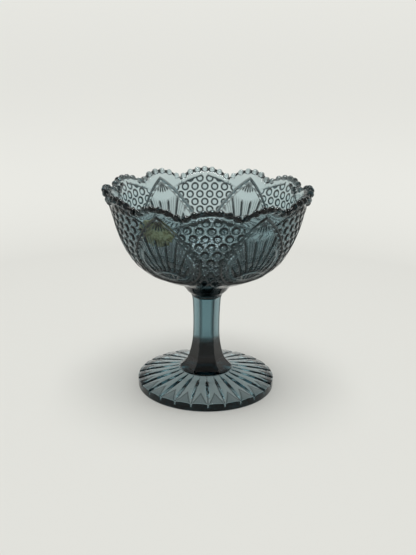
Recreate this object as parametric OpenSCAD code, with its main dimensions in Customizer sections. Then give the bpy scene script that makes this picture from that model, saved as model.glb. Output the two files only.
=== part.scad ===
// Footed compote bowl of pressed glass: a rayed foot, a hexagonal stem, a flared collar,
// a bowl with hobnail and fan panels under a scalloped, beaded rim, and a foil label inside.
// Millimetres, +Z up, origin at the middle of the underside of the foot. The front is -Y.

/* [Foot] */
// Diameter of the foot
foot_d = 82.2; // [70:0.2:100]
// Height of the foot's side band
foot_edge_h = 5.1; // [3.5:0.1:7]
// Height of the foot where the stem stands on it
foot_h = 10.8; // [9:0.1:14]
// Rays pressed into the top of the foot
foot_rays = 26; // [18:1:32]
// Height of a ray's ridge over the edge of the foot
ray_rise = 0.8; // [0.4:0.1:1.4]
// Depth of the groove beside a ray, below the edge of the foot
ray_groove = 0.6; // [0.3:0.1:1]
// Length of the sloped end facet of a ray
ray_facet = 9.5; // [5:0.5:13]
// Depth of the nick that each groove cuts in the side band
nick_depth = 0.9; // [0.4:0.1:1.4]
// Height of that nick
nick_h = 2.7; // [1.5:0.1:3.3]
// Bevel along the bottom edge
foot_bevel = 0.6; // [0.2:0.1:1.2]

/* [Stem] */
// Diameter of the round flange under the stem
flange_d = 31.8; // [26:0.2:36]
// Thickness of the flange
flange_edge = 1; // [0.5:0.1:2]
// Step from the edge of the flange in to the corners of the stem
flange_step = 0.3; // [0.2:0.1:1]
// Width of the stem's waist across its corners
waist_d = 15.7; // [12:0.1:20]
// Height of the waist over the foot
waist_h = 27.2; // [22:0.2:34]
// Diameter of the round top of the stem
stem_top_d = 18.4; // [16:0.1:22]
// Length of the stem
stem_h = 46.2; // [40:0.2:54]
// Rise of the round top at the middle of a facet
facet_arch = 2.6; // [1.5:0.1:4]

/* [Collar] */
// Height of the collar between the stem and the bowl
collar_h = 10.4; // [6:0.2:14]
// Diameter of the collar under the bowl
collar_d = 38; // [28:0.5:46]

/* [Bowl] */
// Diameter of the bowl's wall at the top of a scallop
bowl_d = 118.6; // [100:0.2:140]
// Height of the bowl from the collar to the top of a scallop
bowl_h = 53.4; // [44:0.2:66]
// Thickness of the wall
wall = 3.9; // [3:0.1:5]
// Thickness of the floor
floor_t = 4.6; // [3.5:0.1:7]

/* [Rim] */
// Beads on a wide scallop
wide_beads = 7; // [5:2:9]
// Beads on a narrow scallop
narrow_beads = 6; // [4:2:8]
// Diameter of a bead
bead_d = 4.3; // [3:0.1:4.5]
// Rise of a scallop over the low points beside it
scallop_rise = 5.4; // [2:0.1:7]
// Distance from the outer face of the wall in to the middle of a bead
bead_in = 0.5; // [0.2:0.1:1.5]

/* [Pattern] */
// Hobnail panels, with a fan panel between each two
panels = 6; // [5:1:7]
// Turn of the pattern from the front
pattern_turn = 2.3; // [-10:0.1:10]
// Diameter of a hobnail at its base
hobnail_d = 4.6; // [3:0.1:5]
// Diameter of a hobnail's flat top
hobnail_top_d = 3.2; // [2:0.1:3.6]
// Distance between hobnails in a row
hobnail_pitch = 6.4; // [5.6:0.1:7.5]
// Height between rows of hobnails
row_pitch = 4.7; // [4.2:0.1:6]
// Drop from the top of a scallop to the top row of hobnails
row_drop = 5.6; // [5:0.1:8]
// Height of the relief over the wall
relief = 0.7; // [0.4:0.1:1.2]
// Height of the ground between the rays of a fan panel
field_relief = 0.3; // [0.1:0.1:0.3]
// Height of a fan panel
fan_h = 41.5; // [36:0.5:46]
// Width of a fan panel, as an angle
fan_angle = 47; // [40:0.5:52]
// Width of the raised edge of a fan panel
fan_edge = 1.3; // [0.8:0.1:2]
// Rays in a fan panel
fan_rays = 9; // [5:2:11]
// Width of a fan ray
fan_ray_w = 1.3; // [0.8:0.1:2]
// Angle over which the rays of a fan panel spread
fan_spread = 150; // [120:5:170]
// Radius of the half round at the bottom of a fan panel
lunette_r = 9.5; // [6:0.5:12]

/* [Label] */
// Width of the foil label
label_w = 21; // [14:0.5:26]
// Height of the foil label
label_h = 15; // [10:0.5:20]
// Thickness of the foil label
label_t = 0.2; // [0.1:0.05:0.4]
// Turn of the label from the front
label_turn = -31; // [-60:1:60]
// Height of the middle of the label below the low points of the rim
label_drop = 9.5; // [8:0.5:16]

/* [Hidden] */
// What a cutter runs past the face that it cuts, and a raised shape sinks into the wall
over = 2;
sink = 0.4;
seat_gap = 0.5;
ridge_gap = 0.15;
curve_steps = 2;
fan_steps = 2;
scallop_steps = 9;
label_points = 24;
round_fn = 120;
small_fn = 32;

foot_r = foot_d / 2;
flange_r = flange_d / 2;
waist_r = waist_d / 2;
stem_top_r = stem_top_d / 2;
collar_r = collar_d / 2;
bowl_r = bowl_d / 2;
bead_r = bead_d / 2;

collar_z = foot_h + stem_h;
bowl_z = collar_z + collar_h;
tip_z = bowl_z + bowl_h;
valley_z = tip_z - scallop_rise;

// The foot's ridges fall from a small step round the seat of the stem to the rim
seat_r = flange_r + seat_gap;
ray_angle = 360 / foot_rays;
ridge_edge_z = foot_edge_h + ray_rise;
ridge_slope = (foot_h - ridge_edge_z) / (foot_r - seat_r);
groove_depth = ray_rise + ray_groove;
groove_slope = ridge_slope + groove_depth / foot_r;
hip_r = foot_r - ray_facet;
hip_z = foot_h - (hip_r - seat_r) * ridge_slope;
hip_slope = (hip_z - foot_edge_h) / (foot_r - hip_r);

bead_angle = 360 / panels / (wide_beads + narrow_beads);
wide_half = bead_angle * wide_beads / 2;
narrow_half = bead_angle * narrow_beads / 2;

function mix(a, b, t) = a + (b - a) * t;

// A smooth curve through every point of a list
function curve_point(p, i, t) =
    let (a = p[max(i - 1, 0)], b = p[i], c = p[i + 1], d = p[min(i + 2, len(p) - 1)])
    b + ((c - a) * t + (2 * a - 5 * b + 4 * c - d) * t * t
        + (3 * b - a - 3 * c + d) * t * t * t) / 2;

function curve(p, steps = curve_steps) = [
    for (i = [0 : len(p) - 2]) for (k = [0 : steps - 1]) curve_point(p, i, k / steps),
    p[len(p) - 1]
];

// The outward side of a path at one of its points
function side_of(p, i) =
    let (d = p[min(i + 1, len(p) - 1)] - p[max(i - 1, 0)])
    [d[1], -d[0]] / norm(d);

function moved_out(p, by) = [for (i = [0 : len(p) - 1]) p[i] + by * side_of(p, i)];

function part_of(p, first, last) = [for (i = [first : last]) p[i]];

function reversed(p) = [for (i = [len(p) - 1 : -1 : 0]) p[i]];

// Outer outline of the bowl, as shares of the way out from the collar and up to the rim
wall_shares = [
    [0, 0], [0.075, 0.019], [0.2, 0.048], [0.312, 0.082], [0.47, 0.164], [0.622, 0.275],
    [0.741, 0.425], [0.828, 0.593], [0.886, 0.762], [0.916, 0.836], [0.952, 0.911], [1, 1]
];
wall_path = curve([
    for (s = wall_shares) [mix(collar_r, bowl_r, s[0]), mix(bowl_z, tip_z, s[1])]
]);
inner_start = curve_steps;
wall_end = len(wall_path) - 1;
inner_path = part_of(moved_out(wall_path, -wall), inner_start, wall_end);
floor_z = bowl_z + floor_t;

// Radius and slope of the bowl's outer face at a height
function wall_r(z) = lookup(z, [for (p = wall_path) [p[1], p[0]]]);
function wall_lean(z) = atan2(wall_r(z + over) - wall_r(z - over), 2 * over);

// Stem: height from the flange to the waist, and width over the waist's, both as shares
stem_shares = [[0, 1], [0.095, 0.665], [0.237, 0.356], [0.454, 0.155], [0.7, 0.03], [1, 0]];
// From the waist to the arches: the facets, and the round body between them
upper_shares = [[0.5, 0.1], [0.9, 0.45], [1, 1]];
round_shares = [[0.8, 0.45], [1, 0.7]];
stem_low_z = foot_h + flange_edge;
stem_mid_z = foot_h + waist_h;
// A facet lies this far from the axis for each unit of corner radius
stem_sides = 6;
flat_share = cos(180 / stem_sides);

// Scallop: a circle through its top and the low points beside it
function scallop_arc(half) = (pow(bowl_r * sin(half), 2) + pow(scallop_rise, 2)) / (2 * scallop_rise);
function scallop_z(half, turn) =
    let (a = scallop_arc(half))
    tip_z - a + sqrt(a * a - pow(bowl_r * sin(turn), 2));

// Fan panel: half its width and its height, as shares
fan_shares = [
    [0.01, 1], [0.36, 0.84], [0.68, 0.655], [0.915, 0.478], [1, 0.355], [0.97, 0.19],
    [0.78, 0.075], [0.42, 0.016], [0, 0]
];
fan_top_z = tip_z - bead_r * 2;
fan_low_z = fan_top_z - fan_h;

function fan_side(inset) = [
    for (s = curve(fan_shares, fan_steps))
        let (z = mix(fan_low_z + inset, fan_top_z - 3 * inset, s[1]), r = wall_r(z))
        [max(r * sin(s[0] * fan_angle / 2) - inset * s[0], 0), z]
];

module fan_outline(inset) {
    p = fan_side(inset);
    last = len(p) - 1;
    polygon(concat(p, [for (i = [last - 1 : -1 : 0]) [-p[i][0], p[i][1]]]));
}

// A flat shape in X and Y, stood up and pushed out along the radius at an angle
module outward(turn, from, to) {
    rotate([0, 0, turn - 90])
        translate([from, 0, 0])
            rotate([90, 0, 90])
                linear_extrude(to - from)
                    children();
}

module foot() {
    color("#6d8b90")
    difference() {
        rotate_extrude($fn = round_fn)
            polygon([
                [0, 0], [foot_r - foot_bevel, 0], [foot_r, foot_bevel],
                [foot_r, ridge_edge_z], [seat_r, foot_h], [0, foot_h]
            ]);
        for (i = [0 : foot_rays - 1]) {
            rotate([0, 0, i * ray_angle - 90 + pattern_turn]) ray_cut();
            rotate([0, 0, (i + 0.5) * ray_angle - 90 + pattern_turn]) facet_cut();
        }
    }
}

// The groove between two rays, growing wider and deeper towards the rim, and its nick
module ray_cut() {
    tilt = atan(groove_slope);
    half_w = foot_r * tan(ray_angle / 2);
    deep = groove_depth * cos(tilt);
    grow = 1 + over / deep;
    translate([seat_r, 0, foot_h - ridge_gap - groove_depth * seat_r / foot_r])
        rotate([0, tilt, 0])
            rotate([90, 0, 90])
                linear_extrude(foot_r - seat_r + 2 * over)
                    polygon([[0, 0], [half_w * grow, deep * grow], [-half_w * grow, deep * grow]]);
    lean = atan(nick_depth / nick_h);
    translate([foot_r, 0, foot_edge_h - nick_h])
        rotate([0, -lean, 0])
            translate([0, 0, -over])
                linear_extrude(nick_h + 2 * over)
                    polygon([[0, 0], [over, over], [over, -over]]);
}

// The sloped triangle that ends a ray at the rim
module facet_cut() {
    tilt = atan(hip_slope);
    reach = (ray_facet + seat_gap) / cos(tilt);
    half_w = foot_r * sin(ray_angle / 2) * (1 + seat_gap / ray_facet);
    translate([hip_r, 0, hip_z])
        rotate([0, tilt, 0])
            linear_extrude(over)
                polygon([[0, 0], [reach, half_w], [reach, -half_w]]);
}

module stem() {
    low_r = flange_r - flange_step;
    low = [for (s = stem_shares) [mix(waist_r, low_r, s[1]), mix(stem_low_z, stem_mid_z, s[0])]];
    arch_z = collar_z - facet_arch;
    high = [for (s = upper_shares) [mix(waist_r, stem_top_r, s[1]), mix(stem_mid_z, arch_z, s[0])]];
    top_r = (stem_top_r + facet_arch / 2) / flat_share;
    corners = curve(concat(low, high, [[top_r, collar_z]]));
    body = [for (s = round_shares) [mix(waist_r, stem_top_r, s[1]), mix(stem_mid_z, arch_z, s[0])]];
    color("#29505a")
    union() {
        translate([0, 0, foot_h])
            cylinder(h = flange_edge, r = flange_r, $fn = round_fn);
        intersection() {
            rotate([0, 0, pattern_turn - 60])
                rotate_extrude($fn = stem_sides)
                    polygon(concat(
                        [[0, foot_h + flange_edge / 2], [low_r, foot_h + flange_edge / 2]], corners,
                        [[top_r, collar_z + over], [0, collar_z + over]]
                    ));
            rotate_extrude($fn = round_fn)
                polygon(concat(
                    [[0, foot_h], [flange_r + over, foot_h], [flange_r + over, stem_low_z + over]],
                    [[waist_r + over / 2, stem_mid_z]], body, [[stem_top_r, collar_z], [0, collar_z]]
                ));
        }
    }
}

module collar() {
    flare_shares = [[0, 0], [0.11, 0.135], [0.26, 0.32], [0.45, 0.55], [0.7, 0.8], [1, 1]];
    path = curve([
        for (s = flare_shares) [mix(stem_top_r, collar_r, s[0]), mix(collar_z, bowl_z, s[1])]
    ]);
    color("#3b646c")
    rotate_extrude($fn = round_fn)
        polygon(concat([[0, collar_z]], path, [[0, bowl_z]]));
}

module bowl() {
    color("#5d8087")
    union() {
        difference() {
            rotate_extrude($fn = round_fn)
                polygon(concat([[0, bowl_z]], wall_path, reversed(inner_path), [[0, floor_z]]));
            for (k = [0 : panels - 1]) {
                low_turn = pattern_turn + k * 360 / panels + wide_half;
                outward(low_turn, bowl_r / 2, bowl_r + over) rim_dip(wide_half, narrow_half);
                low_turn_back = pattern_turn + k * 360 / panels - wide_half;
                outward(low_turn_back, bowl_r / 2, bowl_r + over) rim_dip(narrow_half, wide_half);
            }
        }
        beads();
        for (k = [0 : panels - 1]) {
            hobnails(pattern_turn + k * 360 / panels);
        }
        intersection() {
            rotate_extrude($fn = round_fn) relief_skin(relief);
            for (k = [0 : panels - 1]) {
                outward(pattern_turn + k * 360 / panels, collar_r / 2, bowl_r + over) diamonds();
                outward(pattern_turn + (k + 0.5) * 360 / panels, collar_r / 2, bowl_r + over)
                    fan_relief();
            }
        }
        intersection() {
            rotate_extrude($fn = round_fn) relief_skin(field_relief);
            for (k = [0 : panels - 1]) {
                outward(pattern_turn + (k + 0.5) * 360 / panels, collar_r / 2, bowl_r + over)
                    fan_outline(fan_edge / 2);
            }
        }
    }
}

// The dip of the rim between two scallops, from near the top of one to near the top of the next
module rim_dip(half_before, half_after) {
    polygon(concat(
        dip_side(half_before, -1),
        reversed(part_of(dip_side(half_after, 1), 0, scallop_steps - 2)),
        [[bowl_r * sin(half_after), tip_z + over], [-bowl_r * sin(half_before), tip_z + over]]
    ));
}

// One side of a dip, from its top to its low point
function dip_side(half, way) = [
    for (i = [1 : scallop_steps])
        let (turn = half * i / scallop_steps)
        [way * bowl_r * (sin(half) - sin(turn)), scallop_z(half, turn)]
];

module bead(turn, z) {
    rotate([0, 0, turn - 90])
        translate([wall_r(z) - bead_in, 0, z])
            sphere(bead_r, $fn = small_fn);
}

module beads() {
    for (k = [0 : panels - 1]) {
        for (i = [0 : wide_beads - 1]) {
            at = (i - (wide_beads - 1) / 2) * bead_angle;
            bead(pattern_turn + k * 360 / panels + at, scallop_z(wide_half, at));
        }
        for (i = [0 : narrow_beads - 1]) {
            at = (i - (narrow_beads - 1) / 2) * bead_angle;
            bead(pattern_turn + (k + 0.5) * 360 / panels + at, scallop_z(narrow_half, at));
        }
    }
}

// Hobnails in each row of a panel, from the top
row_counts = [2, 3, 4, 3, 2, 1];

module hobnails(turn) {
    for (row = [0 : len(row_counts) - 1]) {
        z = tip_z - row_drop - row * row_pitch;
        for (i = [0 : row_counts[row] - 1]) {
            at = (i - (row_counts[row] - 1) / 2) * hobnail_pitch / wall_r(z) * 180 / PI;
            rotate([0, 0, turn + at - 90])
                translate([wall_r(z), 0, z])
                    rotate([0, 90 + wall_lean(z), 0])
                        translate([0, 0, -sink])
                            cylinder(h = relief + sink, d1 = hobnail_d, d2 = hobnail_top_d, $fn = small_fn);
        }
    }
}

// Diamonds in each row under the last hobnail, pressed between two fan panels
diamond_counts = [2, 1, 2];

module diamonds() {
    half_w = hobnail_d / 2;
    half_h = row_pitch * hobnail_d / hobnail_pitch;
    for (row = [0 : len(diamond_counts) - 1]) {
        for (i = [0 : diamond_counts[row] - 1]) {
            translate([
                (i - (diamond_counts[row] - 1) / 2) * hobnail_pitch,
                tip_z - row_drop - (len(row_counts) + row) * row_pitch
            ])
                polygon([[half_w, 0], [0, half_h], [-half_w, 0], [0, -half_h]]);
        }
    }
}

// The space between a face just inside the wall and the top of the relief
module relief_skin(height) {
    first = curve_steps * 2;
    last = wall_end - curve_steps;
    polygon(concat(
        part_of(moved_out(wall_path, height), first, last),
        reversed(part_of(moved_out(wall_path, -sink), first, last))
    ));
}

// Flat drawing of a fan panel: its edge, its rays and the half round that they spring from
module fan_relief() {
    difference() {
        fan_outline(0);
        fan_outline(fan_edge);
    }
    intersection() {
        fan_outline(fan_edge / 2);
        union() {
            for (i = [0 : fan_rays - 1]) {
                translate([0, fan_low_z])
                    rotate((i - (fan_rays - 1) / 2) * fan_spread / fan_rays)
                        translate([-fan_ray_w / 2, lunette_r - sink])
                            square([fan_ray_w, lunette_r]);
            }
            translate([0, fan_low_z]) difference() {
                circle(lunette_r, $fn = round_fn);
                circle(lunette_r - fan_edge, $fn = round_fn);
            }
        }
    }
}

module foil_label() {
    inside = part_of(inner_path, curve_steps * 2, len(inner_path) - 1);
    color("#6b6a45")
    intersection() {
        rotate_extrude($fn = round_fn)
            polygon(concat(inside, reversed(moved_out(inside, -label_t))));
        outward(label_turn, bowl_r / 2, bowl_r)
            translate([0, valley_z - label_drop])
                polygon([
                    for (i = [0 : label_points - 1])
                        let (a = i * 360 / label_points)
                        [label_w / 2 * cos(a), label_h / 2 * sin(a)]
                ]);
    }
}

foot();
stem();
collar();
bowl();
foil_label();
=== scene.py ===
from math import cos, pi, radians, sqrt
import bpy
import numpy as np
from mathutils import Matrix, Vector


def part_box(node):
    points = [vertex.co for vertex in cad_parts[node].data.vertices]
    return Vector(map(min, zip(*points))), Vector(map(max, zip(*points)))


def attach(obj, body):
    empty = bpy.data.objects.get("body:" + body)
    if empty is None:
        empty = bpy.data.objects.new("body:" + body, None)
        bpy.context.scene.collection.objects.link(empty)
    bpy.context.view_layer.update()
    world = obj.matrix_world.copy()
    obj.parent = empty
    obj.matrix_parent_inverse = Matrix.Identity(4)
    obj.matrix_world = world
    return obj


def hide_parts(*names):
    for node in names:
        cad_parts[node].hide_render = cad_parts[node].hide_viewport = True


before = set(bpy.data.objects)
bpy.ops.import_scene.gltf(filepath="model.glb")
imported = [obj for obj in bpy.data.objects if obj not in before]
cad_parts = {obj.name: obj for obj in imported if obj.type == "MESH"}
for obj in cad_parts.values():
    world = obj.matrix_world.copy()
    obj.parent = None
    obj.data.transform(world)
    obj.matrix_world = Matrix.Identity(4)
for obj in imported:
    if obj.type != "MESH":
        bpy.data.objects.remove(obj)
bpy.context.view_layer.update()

# Footed compote bowl of pressed glass. The frame sets the main heights and widths; shapes are in mm.
patternTurn = 2.3  # degrees from the front to the middle of the front hobnail panel
panels = 6


def nodeBox(name):
    low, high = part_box(name)
    return np.array(low) * 1000, np.array(high) * 1000


collarZ = nodeBox("collar")[0][2]
bowlZ = nodeBox("bowl")[0][2]
footR = max(nodeBox("foot")[1][:2])


# small tools
def hexColour(code):
    shares = [int(code[i:i + 2], 16) / 255 for i in (1, 3, 5)]
    return [s / 12.92 if s <= 0.04045 else ((s + 0.055) / 1.055) ** 2.4 for s in shares] + [1]


def addNode(tree, kind, settings=None, values=None, links=None):
    made = tree.nodes.new(kind)
    for key, value in (settings or {}).items():
        setattr(made, key, value)
    for key, value in (values or {}).items():
        made.inputs[key].default_value = value
    for key, socket in (links or {}).items():
        tree.links.new(socket, made.inputs[key])
    return made


def smoothLine(points, steps=8):
    p = np.array(points, float)
    before = np.vstack([p[:1], p[:-1]])
    after = np.vstack([p[1:], p[-1:]])
    line = []
    for i in range(len(p) - 1):
        a, b, c, d = before[i], p[i], p[i + 1], after[i + 1]
        for k in range(steps):
            t = k / steps
            bend = (2 * a - 5 * b + 4 * c - d) * t * t + (3 * b - a - 3 * c + d) * t ** 3
            line.append(b + ((c - a) * t + bend) / 2)
    line.append(p[-1])
    return np.array(line)


# 0 at low and 1 at high, with a soft start and end
def ease(low, high, value):
    t = np.clip((value - low) / (high - low), 0, 1)
    return t * t * (3 - 2 * t)


def groove(distance, half):
    return np.clip(1 - np.abs(distance) / half, 0, 1)


def ripple(value):
    return np.abs(((value % 1) + 1) % 1 * 2 - 1)  # 1 at whole numbers, 0 half way


# rings is an array of rings by columns by (x, y, z) in mm, going up the outside and down the inside
def ringMesh(name, rings, startJoint=False, endJoint=False, jointFaces=None, depth=None):
    rows, columns = rings.shape[:2]
    start = rings[0].mean(axis=0)
    end = rings[-1].mean(axis=0)
    points = np.vstack([rings.reshape(-1, 3), start, end]) / 1000
    at = np.arange(rows * columns).reshape(rows, columns)
    beside = np.roll(at, -1, axis=1)
    quads = np.stack([at[:-1], beside[:-1], beside[1:], at[1:]], axis=-1).reshape(-1, 4)
    count = rows * columns
    startFan = np.stack([np.full(columns, count), beside[0], at[0]], axis=-1)
    endFan = np.stack([np.full(columns, count + 1), at[-1], beside[-1]], axis=-1)
    mesh = bpy.data.meshes.new(name)
    mesh.vertices.add(len(points))
    mesh.vertices.foreach_set("co", points.ravel())
    corners = np.concatenate([quads.ravel(), startFan.ravel(), endFan.ravel()])
    mesh.loops.add(len(corners))
    mesh.loops.foreach_set("vertex_index", corners)
    sizes = np.concatenate([np.full(len(quads), 4), np.full(2 * columns, 3)])
    mesh.polygons.add(len(sizes))
    mesh.polygons.foreach_set("loop_start", np.concatenate([[0], np.cumsum(sizes)[:-1]]))
    mesh.update(calc_edges=True)
    joint = np.zeros(len(sizes), np.float32)
    flat = np.zeros(len(sizes), bool)
    flat[len(quads):] = True
    joint[len(quads):len(quads) + columns] = startJoint
    joint[len(quads) + columns:] = endJoint
    if jointFaces is not None:
        joint[:len(quads)] = jointFaces.ravel()
    mesh.polygons.foreach_set("use_smooth", ~flat)
    held = mesh.attributes.new("joint", "FLOAT", "FACE")
    held.data.foreach_set("value", joint)
    # depth is painted shade, 0 clear to 1 dark, kept on the points for the glass's colour
    if depth is not None:
        shade = mesh.attributes.new("depth", "FLOAT", "POINT")
        painted = 1 - (1 - depth.ravel()) ** 2  # a face passes the root of its colour
        shade.data.foreach_set("value", np.append(painted, [0, 0]))
    made = bpy.data.objects.new(name, mesh)
    bpy.context.scene.collection.objects.link(made)
    return made


def turned(radius, height, angles):
    shape = np.broadcast_shapes(np.shape(radius), np.shape(height), np.shape(angles))
    r, z, a = (np.broadcast_to(v, shape) for v in (radius, height, angles))
    return np.stack([r * np.cos(a), r * np.sin(a), z], axis=-1)


def place(piece, node, material):
    piece.data.materials.append(material)
    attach(piece, "root")
    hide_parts(node)


# glass
glassLook = {
    "tint": "#ffffff",      # what each pass through a face leaves
    # painted shade: the colour that lines and zones painted dark go to, where steep faces and thick glass
    # turn light away
    "deep": "#03090b",      # the same on lines and zones painted dark, as the photo shows them
    "body": "#47a0ac",      # slate blue: red is lost first
    "lossPerM": 160.0,
    "ior": 1.52,            # soda-lime glass
    "mirror": "#b4b4b4",    # weaker reflections than clean glass gives, for the darks of the photo
    "moireMm": 7.0,         # width of the slow waves left by the mould
    "moireStrength": 0.10, "moireHeightM": 0.0004,
    "orangePeelMm": 0.9,    # width of the fine ripple left by the fire
    "peelStrength": 0.05, "peelHeightM": 0.00005,
    "roughest": 0.035,
}


# Soda-lime glass pressed in an iron mould and fire-polished, which melts sharp edges round and leaves a faint
# ripple on the faces. Painted shade darkens its colour on lines and zones, through the depth attribute
def pressedSodaLimeGlass():
    material = bpy.data.materials.new("pressedSodaLimeGlass")
    material.use_nodes = True
    tree = material.node_tree
    tree.nodes.clear()
    place3d = addNode(tree, "ShaderNodeTexCoord")
    slow = addNode(tree, "ShaderNodeTexNoise", values={
        "Scale": 1000 / glassLook["moireMm"], "Detail": 1.0,
    }, links={"Vector": place3d.outputs["Object"]})
    fine = addNode(tree, "ShaderNodeTexNoise", values={
        "Scale": 1000 / glassLook["orangePeelMm"], "Detail": 2.0,
    }, links={"Vector": place3d.outputs["Object"]})
    slowBump = addNode(tree, "ShaderNodeBump", values={
        "Strength": glassLook["moireStrength"], "Distance": glassLook["moireHeightM"],
    }, links={"Height": slow.outputs["Fac"]})
    fineBump = addNode(tree, "ShaderNodeBump", values={
        "Strength": glassLook["peelStrength"], "Distance": glassLook["peelHeightM"],
    }, links={"Height": fine.outputs["Fac"], "Normal": slowBump.outputs["Normal"]})
    rough = addNode(tree, "ShaderNodeMapRange", values={"To Min": 0.0, "To Max": glassLook["roughest"]},
                    links={"Value": fine.outputs["Fac"]})
    joint = addNode(tree, "ShaderNodeAttribute", {"attribute_name": "joint"})
    ior = addNode(tree, "ShaderNodeMath", {"operation": "MULTIPLY_ADD"}, links={0: joint.outputs["Fac"]})
    # painted shade: the depth attribute turns the colour from the clear tint to the shade colour
    depth = addNode(tree, "ShaderNodeAttribute", {"attribute_name": "depth"})
    hue = addNode(tree, "ShaderNodeValToRGB", links={"Fac": depth.outputs["Fac"]})
    hue.color_ramp.elements[0].color = hexColour(glassLook["tint"])
    hue.color_ramp.elements[1].color = hexColour(glassLook["deep"])
    ior.inputs[1].default_value = 1 - glassLook["ior"]  # a joint face bends no light
    ior.inputs[2].default_value = glassLook["ior"]
    shader = addNode(tree, "ShaderNodeBsdfPrincipled", values={
        "Transmission Weight": 1.0, "IOR": glassLook["ior"], "Specular Tint": hexColour(glassLook["mirror"]),
    }, links={
        "Base Color": hue.outputs["Color"], "Roughness": rough.outputs["Result"],
        "IOR": ior.outputs["Value"], "Normal": fineBump.outputs["Normal"],
    })
    inside = addNode(tree, "ShaderNodeVolumeAbsorption", values={
        "Color": hexColour(glassLook["body"]), "Density": glassLook["lossPerM"],
    })
    addNode(tree, "ShaderNodeOutputMaterial", links={
        "Surface": shader.outputs["BSDF"], "Volume": inside.outputs["Volume"],
    })
    return material


glass = pressedSodaLimeGlass()

# stem and its round flange, which stands on the foot
stem = {
    "gap": 0.04, "flangeR": 15.8, "flangeEdge": 1.0, "flangeStep": 0.3, "flangeSoft": 0.25, "waistR": 7.85,
    "waistZ": 38.0, "topR": 9.2, "arch": 0.5, "cornerSoft": 0.25, "seatIn": 0.12, "topTaper": 0.3,
    "columns": 288, "rows": 150,
    # painted shade: the flare, with the heights where it starts, is full, fades and ends, and a soft line
    # down each corner
    "flareDark": 0.75, "flareZ": [15.8, 17.2, 26.0, 30.0],
    "cornerDark": 0.5, "cornerHalf": 1.6, "cornerZ": [26.0, 32.0],
    "lowShares": [[0, 1], [0.095, 0.665], [0.237, 0.356], [0.454, 0.155], [0.7, 0.03], [1, 0]],
    "highShares": [[0.5, 0.1], [0.9, 0.45], [1, 1]],
    "bodyShares": [[0.8, 0.45], [1, 0.7]],
}

# foot
foot = {
    "height": 10.8, "sideHeight": 5.1, "rays": 26, "columnsPerRay": 36, "sideRows": 16, "topRows": 58,
    "seatR": 16.4, "bevel": 0.6, "ridgeOverSide": 0.8, "facetLength": 9.5, "seatDrop": 0.15, "facetFall": 0.3,
    "grooveDepth": 1.3, "grooveHalf": 1.25, "crown": 0.12,
    "spindleEnd": 0.35, "spindleTurn": 0.8, "spindlePower": 0.7,  # how a groove swells between its ends
    "nickDepth": 0.9, "nickHeight": 2.7,
    # painted shade: lines along the grooves, triangles between their ends, and the side but for the nicks
    "lineDark": 0.8, "lineHalf": 0.55, "lineFrom": [16.5, 18.5],
    "triangleDark": 0.3, "triangleEdge": 0.35, "triangleReach": 0.95,
    "nickClear": [0.2, 0.5], "nickEndZ": [3.2, 2.0], "topClear": [0.1, 0.5],
    "hollowR": 38.9,
    "under": [  # radius and height of the guessed hollow, from its edge to the middle
        [37.5, 1.25], [36.2, 2.2], [35.2, 2.8], [33.5, 3.4], [29, 4.4], [22, 5.6], [17, 6.2], [14, 7.1],
        [10, 8.4], [6, 9.7], [3.5, 10.2], [1, 10.3],
    ],
}


def hexagon(angles, corner):
    off = (angles - radians(patternTurn - 90) + pi / 6) % (pi / 3) - pi / 6
    return corner * cos(pi / 6) / np.cos(off)


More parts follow.
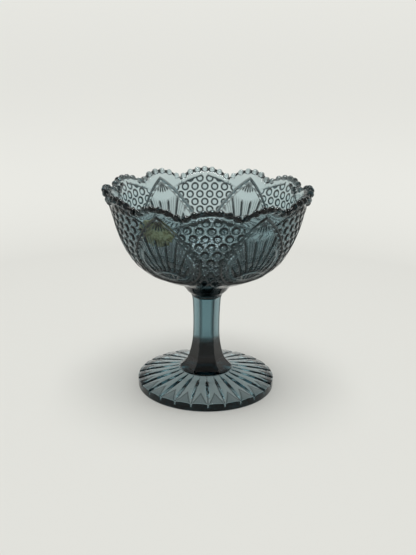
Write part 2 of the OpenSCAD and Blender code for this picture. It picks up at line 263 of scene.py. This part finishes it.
def buildFoot():
    f = foot
    columns = f["rays"] * f["columnsPerRay"]
    angles = 2 * pi * np.arange(columns) / columns + radians(patternTurn - 90)
    half = pi / f["rays"]
    off = (angles - radians(patternTurn - 90) + half) % (2 * half) - half  # 0 on a groove
    fromRidge = half - np.abs(off)
    side = np.abs(off) * footR
    ridgeEdge = f["sideHeight"] + f["ridgeOverSide"]
    slope = (f["height"] - ridgeEdge) / (footR - f["seatR"])
    hipR = footR - f["facetLength"]
    hipZ = f["height"] - (hipR - f["seatR"]) * slope
    hipSlope = (hipZ - f["sideHeight"]) / (footR - hipR)

    def top(r):
        panel = f["height"] - f["seatDrop"] - (r - f["seatR"]) * slope - f["crown"] * (fromRidge / half) ** 2
        facet = hipZ - (r - hipR) * hipSlope - f["facetFall"] * (fromRidge / half - 0.5)
        outward = np.clip((r - f["seatR"]) / (footR - f["seatR"]), 0, 1)
        swell = np.sin(outward * pi * f["spindleTurn"]) ** f["spindlePower"]
        spindle = f["spindleEnd"] + (1 - f["spindleEnd"]) * swell
        cut = f["grooveDepth"] * groove(np.abs(off) * r, f["grooveHalf"] * spindle) * spindle ** 2
        return np.minimum(panel, facet) - cut

    # painted shade on the top: dark lines along the grooves and dark triangles between their ends
    def topShade(r):
        line = f["lineDark"] * groove(np.abs(off) * r, f["lineHalf"]) * ease(*f["lineFrom"], r)
        inside = f["triangleReach"] * (r - hipR) / f["facetLength"] - fromRidge / half
        filled = f["triangleDark"] * ease(-0.05, 0.05, inside)
        edged = f["triangleEdge"] * groove(inside - 0.08, 0.16)
        return np.maximum(line, (filled + edged) * (r > hipR))

    def sideR(z):
        nick = f["nickDepth"] * (z - f["sideHeight"] + f["nickHeight"]) / f["nickHeight"]
        return footR - np.maximum(nick - side, 0)

    hollow = smoothLine([[f["hollowR"], 0.25]] + f["under"], 8)[::-1]
    paintedShades = []
    rings = [turned(r, z, angles) for r, z in hollow]
    rings += [turned(r, 0, angles) for r in (f["hollowR"] + 0.25, footR - 1.4, footR - f["bevel"])]
    rings += [turned(footR - 0.15, 0.2, angles)]
    paintedShades += [angles * 0] * len(rings)
    topEdge = top(footR)
    besideNick = ease(*f["nickClear"], side)
    for share in np.linspace(0, 1, f["sideRows"]):
        z = f["bevel"] + (topEdge - 0.18 - f["bevel"]) * share
        rings.append(turned(sideR(z), z, angles))
        # painted shade: the side band dark all round, but for a pale line down the top of each nick and a
        # clear strip at the top edge
        band = np.maximum(besideNick, ease(*f["nickEndZ"], z))
        paintedShades.append(band * ease(*f["topClear"], topEdge - z))
    edgeR = sideR(topEdge)
    rings.append(turned(edgeR - 0.08, topEdge - 0.04, angles))
    paintedShades.append(angles * 0)
    for share in np.linspace(0, 1, f["topRows"]):
        r = edgeR - 0.3 + (f["seatR"] + 0.25 - edgeR + 0.3) * share
        rings.append(turned(r, top(r), angles))
        paintedShades.append(topShade(r))
    rings.append(turned(f["seatR"] + 0.05, np.minimum(top(f["seatR"] + 0.05), f["height"] - 0.1), angles))
    rings.append(turned(f["seatR"] - 0.15, f["height"], angles))
    seats = (1, 0.8, 0.5, 0.2)
    rings += [turned(stem["flangeR"] * share, f["height"], angles) for share in seats]
    paintedShades += [angles * 0] * (len(rings) - len(paintedShades))
    rings = np.array(rings)
    joints = np.zeros((len(rings) - 1, columns), np.float32)
    joints[-len(seats) + 1:] = 1
    made = ringMesh("foot_rayed", rings, endJoint=True, jointFaces=joints, depth=np.array(paintedShades))
    place(made, "foot", glass)


buildFoot()
print("foot pressed")


def buildStem():
    s = stem
    low = foot["height"]
    archZ = collarZ - s["arch"]

    def along(shares, z0, z1, r0, r1):
        return [[z0 + (z1 - z0) * a, r0 + (r1 - r0) * b] for a, b in shares]

    flareR = s["flangeR"] - s["flangeStep"]
    corner = along(s["lowShares"], low + s["flangeEdge"], s["waistZ"], s["waistR"], flareR)
    corner += along(s["highShares"], s["waistZ"], archZ, s["waistR"], s["topR"])
    corner.append([collarZ, (s["topR"] + s["arch"] / 2) / cos(pi / 6)])
    corner = smoothLine(corner)
    body = [[low, s["flangeR"] + 2], [low + 3, s["flangeR"] + 2], [s["waistZ"], s["waistR"] + 1]]
    body += along(s["bodyShares"], s["waistZ"], archZ, s["waistR"], s["topR"]) + [[collarZ, s["topR"]]]
    body = np.array(body)
    angles = 2 * pi * np.arange(s["columns"]) / s["columns"] + radians(patternTurn - 90)
    heights = np.concatenate([
        [low + s["gap"], low + s["gap"] + 0.15], np.linspace(low + 0.35, low + s["flangeEdge"] - 0.1, 4),
        np.linspace(low + s["flangeEdge"] + 0.1, collarZ - 0.35, s["rows"]),
        [collarZ - 0.15, collarZ - s["gap"] / 2],
    ])
    fromCorner = (angles - radians(patternTurn - 90)) % (pi / 3) - pi / 6
    flareStart, flareFull, flareFade, flareEnd = s["flareZ"]
    rings = []
    paintedShades = []
    for z in heights:
        cornerR = np.interp(z, corner[:, 0], corner[:, 1])
        if z < low + s["flangeEdge"]:
            cornerR = s["flangeR"]
        flat = hexagon(angles, cornerR)
        if z < low + s["flangeEdge"]:
            flat = angles * 0 + s["flangeR"] - s["flangeSoft"] * ease(low + 0.6, low + s["flangeEdge"], z)
        bodyR = np.interp(z, body[:, 0], body[:, 1])
        soft = s["cornerSoft"]
        blend = np.clip(0.5 + (bodyR - flat) / (2 * soft), 0, 1)
        r = bodyR * (1 - blend) + flat * blend - soft * blend * (1 - blend)
        if z > collarZ - s["topTaper"]:
            r = r - s["topTaper"] * (z - collarZ + s["topTaper"])
        if z < low + 0.1:
            r = r - s["seatIn"]
        rings.append(turned(r, z, angles))
        # painted shade: a soft dark line down each corner and a dark band on the flare
        edge = s["cornerDark"] * groove(fromCorner * cornerR, s["cornerHalf"]) * ease(*s["cornerZ"], z)
        flare = s["flareDark"] * ease(flareStart, flareFull, z) * ease(flareEnd, flareFade, z)
        paintedShades.append(np.maximum(edge, flare))
    made = ringMesh("stem_six_sided", np.array(rings), startJoint=True, endJoint=True, depth=np.array(paintedShades))
    place(made, "stem", glass)


buildStem()
print("stem pressed")

# collar
collar = {
    "shares": [
        [0, 0], [0.01, 0.1], [0.06, 0.16], [0.15, 0.22], [0.28, 0.33], [0.46, 0.55], [0.7, 0.8], [1, 1],
    ],
    "topR": 19.0, "columns": 240, "rows": 60, "seatIn": 0.2, "seatRise": 0.25,
    "ringDark": 0.9, "ringZ": [1.2, 1.9, 3.3, 4.0],  # painted shade: a dark ring low on the collar, where it starts, is full, fades and ends
}


def buildCollar():
    c = collar
    line = smoothLine([
        [stem["topR"] + (c["topR"] - stem["topR"]) * a, collarZ + (bowlZ - collarZ) * b]
        for a, b in c["shares"]
    ], c["rows"] // 5)
    line[0, 0] -= c["seatIn"]
    line[0, 1] += stem["gap"] / 2
    line[-1, 1] -= stem["gap"] / 2
    line = np.vstack([line[:1], [line[0, 0] + c["seatIn"], line[0, 1] + c["seatRise"]], line[2:]])
    angles = 2 * pi * np.arange(c["columns"]) / c["columns"]
    rings = turned(line[:, :1], line[:, 1:], angles[None, :])
    above = line[:, 1:] - collarZ
    start, full, fade, end = c["ringZ"]
    # painted shade: a dark ring low on the collar
    paintedShades = c["ringDark"] * ease(start, full, above) * ease(end, fade, above) + 0 * angles
    made = ringMesh("collar_flared", rings, startJoint=True, endJoint=True, depth=paintedShades)
    place(made, "collar", glass)


buildCollar()
print("collar pressed")

# bowl
bowl = {
    "rimR": 59.3, "height": 53.4, "wall": 3.9, "lipWall": 2.4, "taperFrom": 44.0, "floor": 4.6,
    "wallShares": [
        [0, 0], [0.075, 0.019], [0.2, 0.048], [0.312, 0.082], [0.47, 0.164], [0.622, 0.275],
        [0.741, 0.425], [0.828, 0.593], [0.886, 0.762], [0.916, 0.836], [0.952, 0.911], [1, 1],
    ],
    "columnsPerBead": 16, "wideBeads": 7, "narrowBeads": 6, "beadR": 2.15, "lipR": 1.15, "beadIn": 0.5,
    "rise": 5.4, "outerRows": 200, "topRows": 26, "beadRows": 26, "innerRows": 70,
    "evenRowsDrop": 13, "lipFade": 2.2, "lipClear": 2.6, "beadSweep": 190, "floorDish": 0.25,
    "floorShares": [0.85, 0.6, 0.3, 0.1],
}
relief = {
    "height": 0.7, "pitch": 6.4, "rowPitch": 4.7, "rowDrop": 5.6, "nailTopR": 1.55, "nailBaseR": 2.45,
    "latticeHalf": 0.32, "latticeDepth": 0.3, "diamondHalf": 0.85, "diamondDepth": 0.95, "diamondDrop": 32.0,
    "gableDrop": 2.7, "gableSlope": 0.33, "gableWidth": 0.8, "gableEnd": 19.5,
    "fanTop": 4.4, "fanHeight": 41.9, "fanHalf": 23.9,
    "fanShares": [
        [0, 1], [0.03, 0.995], [0.38, 0.838], [0.68, 0.65], [0.915, 0.478], [1, 0.36], [0.975, 0.19],
        [0.77, 0.072], [0.42, 0.02], [0, 0],
    ],
    "lunetteR": 13.0, "lunetteRing": 1.1, "rayDegrees": 10.5, "combDegrees": 2.625, "lunetteDegrees": 15.0,
    "rungs": [15.5, 17.2, 22.0, 23.4, 24.8], "flute": 8.6,
    "rayHalf": 0.85, "rungHalf": 0.55, "fluteHalf": 0.9, "fluteDegrees": 13, "blockPitch": 3.1,
    "edgeAt": [-0.25, 0, 0.5, 0.9, 1.7, 2.5, 3.0], "edgeHigh": [0, 0.75, 0.75, 0.4, -0.2, 0.3, 0.55],
    # painted shade on the relief: dark rings, grooves, rays, flutes and edges where steep glass turns the
    # light away, the glass darker towards the bottom, and dark necks between the rim beads
    # how dark each line or zone is painted, from the photo
    "dark": {
        "nailRing": 0.93, "diamond": 0.9, "ray": 0.95, "flute": 0.9, "rung": 0.5, "comb": 0.5, "spoke": 0.75,
        "lunetteEdge": 0.9, "fanEdge": 0.95, "blocks": 0.6, "gable": 0.95, "low": 0.3, "smooth": 0.7,
        "betweenBeads": 0.8,
    },
}
tipZ = bowlZ + bowl["height"]
beadAngle = 2 * pi / panels / (bowl["wideBeads"] + bowl["narrowBeads"])


def wallLine():
    b = bowl
    return smoothLine([
        [collar["topR"] + (b["rimR"] - collar["topR"]) * a, bowlZ + b["height"] * s]
        for a, s in b["wallShares"]
    ], 24)


outline = wallLine()
outlineLength = np.concatenate([[0], np.cumsum(np.hypot(*np.diff(outline, axis=0).T))])


def wallR(z):
    return np.interp(z, outline[:, 1], outline[:, 0])


def wallLength(z):
    return np.interp(z, outline[:, 1], outlineLength)


def wallLean(z):
    return np.arctan2(wallR(z + 0.8) - wallR(z - 0.8), np.minimum(z + 0.8, tipZ) - np.maximum(z - 0.8, bowlZ))


def scallopZ(turn):
    wide = beadAngle * bowl["wideBeads"] / 2
    narrow = pi / panels - wide
    middle = np.abs((turn + pi / panels) % (2 * pi / panels) - pi / panels)
    inWide = middle <= wide
    half = np.where(inWide, wide, narrow)
    off = np.where(inWide, middle, pi / panels - middle)
    chord = bowl["rimR"] * np.sin(half)
    arc = (chord ** 2 + bowl["rise"] ** 2) / (2 * bowl["rise"])
    return tipZ - arc + np.sqrt(arc ** 2 - (bowl["rimR"] * np.sin(off)) ** 2)


# Distance into a fan panel from its edge, in mm, for places given across and along the wall
def fanDistance(across, along):
    r = relief
    top = tipZ - r["fanTop"]
    side = smoothLine(r["fanShares"], 6)
    z = top - r["fanHeight"] * (1 - side[:, 1])
    edge = np.stack([np.radians(side[:, 0] * r["fanHalf"]) * wallR(z), wallLength(z)], axis=-1)
    x = np.abs(across)
    best = np.full(x.shape, 1e9)
    inside = np.zeros(x.shape, bool)
    for (x0, y0), (x1, y1) in zip(edge[:-1], edge[1:]):
        dx, dy = x1 - x0, y1 - y0
        t = np.clip(((x - x0) * dx + (along - y0) * dy) / (dx * dx + dy * dy), 0, 1)
        best = np.minimum(best, np.hypot(x - x0 - t * dx, along - y0 - t * dy))
        crosses = (y0 > along) != (y1 > along)
        reach = x0 + (along - y0) * dx / (dy if abs(dy) > 1e-9 else 1e-9)
        inside ^= crosses & (x < reach)
    return np.where(inside, best, -best)


# How far a share of a repeat is from the middle between two whole numbers
def nearHalf(value):
    return np.abs(value % 1 - 0.5)


# Hobnails stand on the crossings of a lattice of three fine grooves; under them the two slanting ones cut
# diamonds
def hobnailHeight(x, z):
    r = relief
    row = (z - (tipZ - r["rowDrop"])) / r["rowPitch"]
    cross = x / r["pitch"]
    stretch = 1 / np.cos(wallLean(z))
    nearest = np.full(x.shape, 99.0)
    for step in (0, 1):
        k = np.floor(row) + step
        off = (cross + 0.5 * (k % 2)) % 1 - 0.5
        nearest = np.minimum(nearest, np.hypot(off * r["pitch"], (row - k) * r["rowPitch"] * stretch))
    nail = np.clip((r["nailBaseR"] - nearest) / (r["nailBaseR"] - r["nailTopR"]), 0, 1)
    tilt = 1 / sqrt(1 / r["pitch"] ** 2 + 1 / (2 * r["rowPitch"]) ** 2)
    left = nearHalf(cross + 0.5 - row / 2) * tilt
    right = nearHalf(cross + 0.5 + row / 2) * tilt
    level = nearHalf(row) * r["rowPitch"] * stretch
    lattice = groove(np.minimum(np.minimum(left, right), level), r["latticeHalf"])
    nails = r["height"] * nail - r["latticeDepth"] * lattice * (1 - nail)
    diamonds = r["height"] - r["diamondDepth"] * groove(np.minimum(left, right), r["diamondHalf"])
    under = ease(0.6, -0.6, z - (tipZ - r["diamondDrop"]))
    # painted shade: a dark ring on the wall of each nail, and dark diamond grooves low on the bowl
    nailRing = r["dark"]["nailRing"] * ease(1.3, 1.5, nearest) * ease(2.7, 2.35, nearest)
    diamondDark = r["dark"]["diamond"] * ease(0.15, 0.5, np.minimum(left, right)) * ease(38, 44, tipZ - z)
    return nails * (1 - under) + diamonds * under, nailRing * (1 - under) + diamondDark * under


# A fan panel: its sharp edge and blocks, a lunette with rays that spring from it, fine combs and flutes at
# its tip
def fanHeight(fx, z, along, inFan):
    r = relief
    paint = r["dark"]
    edge = np.interp(inFan, r["edgeAt"], r["edgeHigh"])
    blocks = 0.45 * ease(0.5, 0.8, ripple(along / r["blockPitch"])) * groove(inFan - 1.7, 0.8)
    base = wallLength(tipZ - r["fanTop"] - r["fanHeight"])
    reach = np.hypot(fx, along - base)
    ray = np.degrees(np.arctan2(fx, along - base))
    apex = wallLength(tipZ - r["fanTop"])
    down = np.hypot(fx, apex - along)
    perDegree = reach * pi / 180

    mainRay = groove(nearHalf(ray / r["rayDegrees"]) * r["rayDegrees"] * perDegree, r["rayHalf"])
    combEnd = ease(12.5, 16.0, down) * ease(17, 21, reach)
    comb = nearHalf(ray / r["combDegrees"]) * 2 * combEnd
    rungs = np.max([groove(reach - at, r["rungHalf"]) for at in r["rungs"]], axis=0)
    inner = ease(30, 26, reach)
    fluteTurn = np.degrees(np.arctan2(fx, np.maximum(apex - along, 0.1)))
    fluteOff = nearHalf(fluteTurn / r["fluteDegrees"] + 0.5) * r["fluteDegrees"] * down * pi / 180
    flutes = groove(fluteOff, r["fluteHalf"]) * ease(1.0, 2.5, down)
    flutes = flutes * ease(r["flute"] + 1.2, r["flute"] - 1.2, down)
    longRay = mainRay * ease(12, 16, down)
    filling = 0.35 + 0.25 * comb - 0.75 * longRay - 0.5 * rungs * inner - 0.75 * flutes

    lunette = 0.1 + 0.55 * ripple(ray / r["lunetteDegrees"])
    ring = np.interp(np.abs(reach - r["lunetteR"]), [0, 0.8, r["lunetteRing"], 1.4], [0.8, 0.75, 0.2, 0])
    filling = np.where(reach < r["lunetteR"] - 1.4, lunette, filling)
    filling = np.where(np.abs(reach - r["lunetteR"]) < 1.4, ring, filling)
    border = 0.55 - 0.4 * np.sin(np.clip((inFan - 2.6) / 3.6, 0, 1) * pi)
    lowBorder = ease(tipZ - 22, tipZ - 27, z) * ease(6.6, 6.0, inFan)
    filling = filling * (1 - lowBorder) + border * lowBorder
    within = ease(2.5, 3.0, inFan)

    # painted shade: dark rays, flutes, rungs and combs, dark spokes in the lunette, and dark lines round it,
    # along the fan's edge and between its blocks
    dark = np.max([
        paint["ray"] * ease(0.2, 0.5, longRay), paint["flute"] * ease(0.3, 0.6, flutes),
        paint["rung"] * rungs * inner, paint["comb"] * (1 - ripple(ray / r["combDegrees"])) * combEnd,
    ], axis=0)
    spokes = paint["spoke"] * (1 - ripple(ray / r["lunetteDegrees"]))
    dark = np.where(reach < r["lunetteR"] - 1.0, spokes, dark)
    ringEdge = paint["lunetteEdge"] * groove(np.abs(reach - r["lunetteR"]) - 1.35, 0.35)
    dark = np.maximum(np.where(np.abs(reach - r["lunetteR"]) < 1.0, 0, dark), ringEdge) * (1 - lowBorder)
    edgeLine = ease(0.2, 0.4, inFan) * ease(1.4, 1.2, inFan)
    edgeDark = paint["fanEdge"] * np.maximum(edgeLine, paint["blocks"] * (blocks < 0.12))
    return (edge + blocks) * (1 - within) + filling * within, edgeDark * (1 - within) + dark * within


def reliefHeight(turn, z):
    r = relief
    paint = r["dark"]
    along = wallLength(z)
    x = turn * wallR(z)  # from the middle of the hobnail panel
    degreesOff = np.degrees(np.abs(turn))
    fanTurn = np.where(turn > 0, turn - pi / panels, turn + pi / panels)
    fx = fanTurn * wallR(z)
    inFan = fanDistance(fx, along)
    high, dark = hobnailHeight(x, z)

    # plain glass over the gable, which is a sharp line that faces up
    gable = z - (tipZ - r["gableDrop"] - r["gableSlope"] * degreesOff)
    high = high * ease(0.3, -0.9, gable)
    dark = dark * ease(0.0, -1.2, gable)
    line = np.interp(gable, [-r["gableWidth"], -0.3, 0, 0.32], [0, 0.7, 0.7, 0])
    ends = ease(r["gableEnd"], r["gableEnd"] - 3, degreesOff) * ease(1.2, 2.2, degreesOff)
    high = np.maximum(high, line * ends)
    # painted shade: a dark line just under the gable
    dark = np.maximum(dark, paint["gable"] * ends * ease(-1.3, -1.0, gable) * ease(0.0, -0.2, gable))

    near = ease(-0.9, -0.25, inFan)
    fanHigh, fanDark = fanHeight(fx, z, along, inFan)
    high = high * (1 - near) + fanHigh * near
    dark = dark * (1 - near) + fanDark * near
    smooth = ease(tipZ - 45.5, tipZ - 48.5, z)  # smooth glass round the foot of the bowl
    # painted shade: the glass darker towards the bottom, and the smooth glass round the foot of the bowl
    # darker still
    low = paint["low"] * ease(18, 44, tipZ - z)
    return high * (1 - smooth), 1 - (1 - dark * (1 - smooth)) * (1 - low) * (1 - paint["smooth"] * smooth)


def buildBowl():
    b = bowl
    perPanel = b["columnsPerBead"] * (b["wideBeads"] + b["narrowBeads"])
    turn = (np.arange(perPanel) + 0.5) / perPanel * 2 * pi / panels - pi / panels
    line = scallopZ(turn)
    beadIndex = np.round(turn / beadAngle)
    # the middle bead of a panel stands on its middle, as an odd number of beads needs
    beadTurn = beadIndex * beadAngle
    beadZ = scallopZ(beadTurn)
    rimR = wallR(beadZ) - b["beadIn"]
    off = np.abs(turn - beadTurn) * rimR
    toLine = ease(0.55 * b["beadR"], 0.95 * b["beadR"], off)
    centreZ = beadZ + (line - beadZ) * toLine
    centreR = wallR(centreZ) - b["beadIn"]
    bead = np.sqrt(np.maximum(b["beadR"] ** 2 - off ** 2, 0))
    radius = np.maximum(bead, b["lipR"])

    lean = wallLean(centreZ)
    stretch = 1 / np.cos(lean)
    start = -np.arccos(np.clip(b["beadIn"] / radius / stretch, -1, 1)) - lean
    joinZ = centreZ + radius * np.sin(start)

    rows = []
    mainTop = tipZ - b["evenRowsDrop"]
    mainLength = np.linspace(0, wallLength(mainTop), b["outerRows"])
    mainZ = np.interp(mainLength, outlineLength, outline[:, 1])
    mainZ[0] = bowlZ
    for z in mainZ:
        rows.append(np.full(perPanel, z))
    for share in np.linspace(0, 1, b["topRows"] + 1)[1:]:
        rows.append(mainTop + (joinZ - 0.25 - mainTop) * share)
    z = np.array(rows)
    turns = np.broadcast_to(turn, z.shape)
    raised, dark = reliefHeight(turns, z)
    toLip = 1 - ease(0, b["lipFade"], z - (joinZ - b["lipClear"]))
    raised = raised * toLip
    leans = wallLean(z)
    outR = wallR(z) + raised * np.cos(leans)
    outZ = z - raised * np.sin(leans)
    outZ[0] = bowlZ + stem["gap"] / 2
    outR[0] = collar["topR"]

    sweep = np.linspace(0, 1, b["beadRows"])[:, None]
    stop = radians(b["beadSweep"])
    around = start + (stop - start) * sweep
    beadR = centreR + radius * np.cos(around)
    beadZs = centreZ + radius * np.sin(around)

    def innerPoint(zs):
        thick = b["wall"] + (b["lipWall"] - b["wall"]) * ease(bowlZ + b["taperFrom"], tipZ + 2, zs)
        tilt = wallLean(zs)
        return wallR(zs) - thick * np.cos(tilt), zs + thick * np.sin(tilt)

    innerTop = centreZ - 1.2
    innerLow = bowlZ + 1.0
    lengths = np.linspace(1, 0, b["innerRows"])[:, None]
    outerZ = np.interp(
        wallLength(innerLow) + (wallLength(innerTop - 0.9)[None, :] - wallLength(innerLow)) * lengths,
        outlineLength, outline[:, 1],
    )
    inR, inZ = innerPoint(outerZ)
    floorZ = bowlZ + b["floor"]
    inZ = np.maximum(inZ, floorZ + b["floorDish"] * (inR / 20) ** 2)
    floorR = inR[-1] * np.array(b["floorShares"])[:, None]
    floorLine = floorZ + b["floorDish"] * (floorR / 20) ** 2
    radii = np.vstack([outR, beadR, inR, floorR])
    heights = np.vstack([outZ, beadZs, inZ, floorLine])
    allRadii = np.tile(radii, (1, panels))
    allHeights = np.tile(heights, (1, panels))
    allTurns = np.concatenate([turn + k * 2 * pi / panels for k in range(panels)])
    angles = allTurns + radians(patternTurn - 90)
    rings = turned(allRadii, allHeights, angles[None, :])
    plain = np.zeros((len(radii) - len(z), perPanel))
    # painted shade in the necks between the rim beads
    plain[:b["beadRows"]] = relief["dark"]["betweenBeads"] * ease(0.4 * b["beadR"], 0.85 * b["beadR"], off)
    paintedShades = np.tile(np.vstack([dark * toLip, plain]), (1, panels))
    made = ringMesh("bowl_pressed", rings, startJoint=True, depth=paintedShades)
    place(made, "bowl", glass)
    return innerPoint


innerPoint = buildBowl()
print("bowl pressed")

# foil label
label = {
    "turn": -32.6, "z": 106.1, "width": 21.0, "height": 15.0, "thickness": 0.2, "gap": 0.05, "columns": 96,
    "ringShares": [0.15, 0.4, 0.65, 0.85, 0.97, 1.0],
    "foil": "#efdfa3", "worn": "#b59d68", "bright": "#fff6c8", "mottleMm": 1.6, "grainMm": 0.35,
    "metallic": 0.05, "smoothest": 0.35, "roughest": 0.7,
}


# Gold foil sticker, dull and mottled brown where it has worn; pale and almost without metal
def agedGoldFoil():
    material = bpy.data.materials.new("agedGoldFoil")
    material.use_nodes = True
    tree = material.node_tree
    shader = tree.nodes["Principled BSDF"]
    place3d = addNode(tree, "ShaderNodeTexCoord")
    mottle = addNode(tree, "ShaderNodeTexNoise", values={"Scale": 1000 / label["mottleMm"], "Detail": 4.0},
                     links={"Vector": place3d.outputs["Object"]})
    ramp = addNode(tree, "ShaderNodeValToRGB", links={"Fac": mottle.outputs["Fac"]})
    ramp.color_ramp.elements[0].position = 0.38
    ramp.color_ramp.elements[0].color = hexColour(label["worn"])
    ramp.color_ramp.elements[1].position = 0.68
    ramp.color_ramp.elements[1].color = hexColour(label["bright"])
    middle = ramp.color_ramp.elements.new(0.52)
    middle.color = hexColour(label["foil"])
    grain = addNode(tree, "ShaderNodeTexNoise", values={"Scale": 1000 / label["grainMm"], "Detail": 2.0},
                    links={"Vector": place3d.outputs["Object"]})
    rough = addNode(tree, "ShaderNodeMapRange", values={
        "To Min": label["smoothest"], "To Max": label["roughest"],
    }, links={"Value": mottle.outputs["Fac"]})
    bump = addNode(tree, "ShaderNodeBump", values={"Strength": 0.4, "Distance": 0.0001},
                   links={"Height": grain.outputs["Fac"]})
    shader.inputs["Metallic"].default_value = label["metallic"]
    tree.links.new(ramp.outputs["Color"], shader.inputs["Base Color"])
    tree.links.new(rough.outputs["Result"], shader.inputs["Roughness"])
    tree.links.new(bump.outputs["Normal"], shader.inputs["Normal"])
    return material


def buildLabel():
    d = label
    a = 2 * pi * np.arange(d["columns"]) / d["columns"]
    pointed = 1 + 0.10 * np.exp(-(np.degrees(np.abs((a + pi) % (2 * pi) - pi)) / 14) ** 2)
    torn = 0.03 * (np.sin(a) < -0.2) * np.sin(23 * a)  # only along the lower edge
    ragged = 1 + 0.025 * np.sin(7 * a + 1.0) + 0.02 * np.sin(13 * a) + torn
    rings = []

    def ring(share, depth):
        x = d["width"] / 2 * np.cos(a) * pointed * ragged * share
        up = d["height"] / 2 * np.sin(a) * ragged * share
        r, z = innerPoint(d["z"] + up - bowl["wall"] * np.sin(wallLean(d["z"])))
        r = r - depth
        return turned(r, z, x / np.mean(r) + radians(d["turn"] - 90))

    for share in d["ringShares"]:
        rings.append(ring(share, d["gap"] + d["thickness"]))
    for share in reversed(d["ringShares"]):
        rings.append(ring(share, d["gap"]))
    return ringMesh("foil_label_worn", np.array(rings))


place(buildLabel(), "foil_label", agedGoldFoil())
print("label stuck on")

# floor, light and camera
studio = {
    "floorSize": 120.0, "floorZ": -0.0002, "pale": "#e6e6e2", "card": "#adada9",
    "glowNear": 0.35, "glowFar": 0.71, "glowR": 0.3,  # glows more with distance, where the lamp reaches less
    "sky": 1.25, "ceiling": 0.55,                     # strength of the world low down and overhead
    "ceilingFrom": 0.25, "ceilingTo": 0.7,            # heights in the sky between which it changes
    "lens": 57.1, "sensor": 36, "clipStart": 0.01,
    "pitch": 18.05, "height": 0.2289, "back": 0.4953, "side": 0.0006, "roll": 0.77,
    "bounces": 20, "glossyBounces": 8,
    "lights": [
        {"name": "soft_top", "at": (0.0, -0.02, 1.1), "size": (0.5, 0.5), "power": 8.0},
    ],
}


def buildWorld():
    world = bpy.data.worlds.new("studio")
    bpy.context.scene.world = world
    world.use_nodes = True
    tree = world.node_tree
    tree.nodes.clear()
    way = addNode(tree, "ShaderNodeTexCoord")
    xyz = addNode(tree, "ShaderNodeSeparateXYZ", links={"Vector": way.outputs["Generated"]})
    shade = addNode(tree, "ShaderNodeMapRange", {"interpolation_type": "SMOOTHSTEP"}, values={
        "From Min": studio["ceilingFrom"], "From Max": studio["ceilingTo"], "To Min": studio["sky"],
        "To Max": studio["ceiling"],
    }, links={"Value": xyz.outputs["Z"]})
    back = addNode(tree, "ShaderNodeBackground", values={"Color": hexColour(studio["pale"])},
                   links={"Strength": shade.outputs["Result"]})
    addNode(tree, "ShaderNodeOutputWorld", links={"Surface": back.outputs["Background"]})


# Matt card sweep, plain pale grey. Its glow is seen directly, mirrored and through glass alike, and lights
# matt surfaces only through glass
def mattCard():
    s = studio
    material = bpy.data.materials.new("mattSweepCard")
    material.use_nodes = True
    tree = material.node_tree
    tree.nodes.clear()
    spot = addNode(tree, "ShaderNodeNewGeometry")
    far = addNode(tree, "ShaderNodeVectorMath", {"operation": "LENGTH"}, links={0: spot.outputs["Position"]})
    nearness = addNode(tree, "ShaderNodeMath", {"operation": "DIVIDE"}, values={0: 1.0},
                       links={1: far.outputs["Value"]})
    glow = addNode(tree, "ShaderNodeMapRange", values={
        "From Min": 0.0, "From Max": 1 / s["glowR"], "To Min": s["glowFar"], "To Max": s["glowNear"],
    }, links={"Value": nearness.outputs["Value"]})
    rays = addNode(tree, "ShaderNodeLightPath")
    clear = addNode(tree, "ShaderNodeMath", {"operation": "MAXIMUM"},
                    links={0: rays.outputs["Is Glossy Ray"], 1: rays.outputs["Is Transmission Ray"]})
    seen = addNode(tree, "ShaderNodeMath", {"operation": "MAXIMUM"},
                   links={0: rays.outputs["Is Camera Ray"], 1: clear.outputs["Value"]})
    shown = addNode(tree, "ShaderNodeMath", {"operation": "MULTIPLY"},
                    links={0: glow.outputs["Result"], 1: seen.outputs["Value"]})
    own = addNode(tree, "ShaderNodeEmission", values={"Color": hexColour(s["pale"])},
                  links={"Strength": shown.outputs["Value"]})
    lit = addNode(tree, "ShaderNodeBsdfDiffuse", values={"Color": hexColour(s["card"])})
    both = addNode(tree, "ShaderNodeAddShader", links={0: own.outputs["Emission"], 1: lit.outputs["BSDF"]})
    addNode(tree, "ShaderNodeOutputMaterial", links={"Surface": both.outputs["Shader"]})
    return material


def buildStudio():
    half = studio["floorSize"] / 2
    corners = [(-half, -half), (half, -half), (half, half), (-half, half)]
    mesh = bpy.data.meshes.new("floor")
    mesh.from_pydata([(x, y, studio["floorZ"]) for x, y in corners], [], [(0, 1, 2, 3)])
    floor = bpy.data.objects.new("floor", mesh)
    bpy.context.scene.collection.objects.link(floor)
    mesh.materials.append(mattCard())
    for d in studio["lights"]:
        lamp = bpy.data.lights.new(d["name"], "AREA")
        lamp.shape = "RECTANGLE"
        lamp.size, lamp.size_y = d["size"]
        lamp.energy = d["power"]
        held = bpy.data.objects.new(d["name"], lamp)
        held.location = d["at"]
        held.visible_camera = False
        bpy.context.scene.collection.objects.link(held)


def buildCamera():
    s = studio
    eye = bpy.data.cameras.new("camera")
    eye.lens = s["lens"]
    eye.sensor_fit = "VERTICAL"
    eye.sensor_height = s["sensor"]
    eye.clip_start = s["clipStart"]
    held = bpy.data.objects.new("camera", eye)
    stand = Matrix.Translation((s["side"], -s["back"], s["height"]))
    tilt = Matrix.Rotation(radians(90 - s["pitch"]), 4, "X")
    held.matrix_world = stand @ tilt @ Matrix.Rotation(radians(s["roll"]), 4, "Z")
    bpy.context.scene.collection.objects.link(held)
    bpy.context.scene.camera = held


buildWorld()
buildStudio()
buildCamera()
view = bpy.context.scene.view_settings
view.view_transform = "Standard"
paths = bpy.context.scene.cycles
paths.max_bounces = studio["bounces"]
paths.transmission_bounces = studio["bounces"]
paths.glossy_bounces = studio["glossyBounces"]
print("studio set")
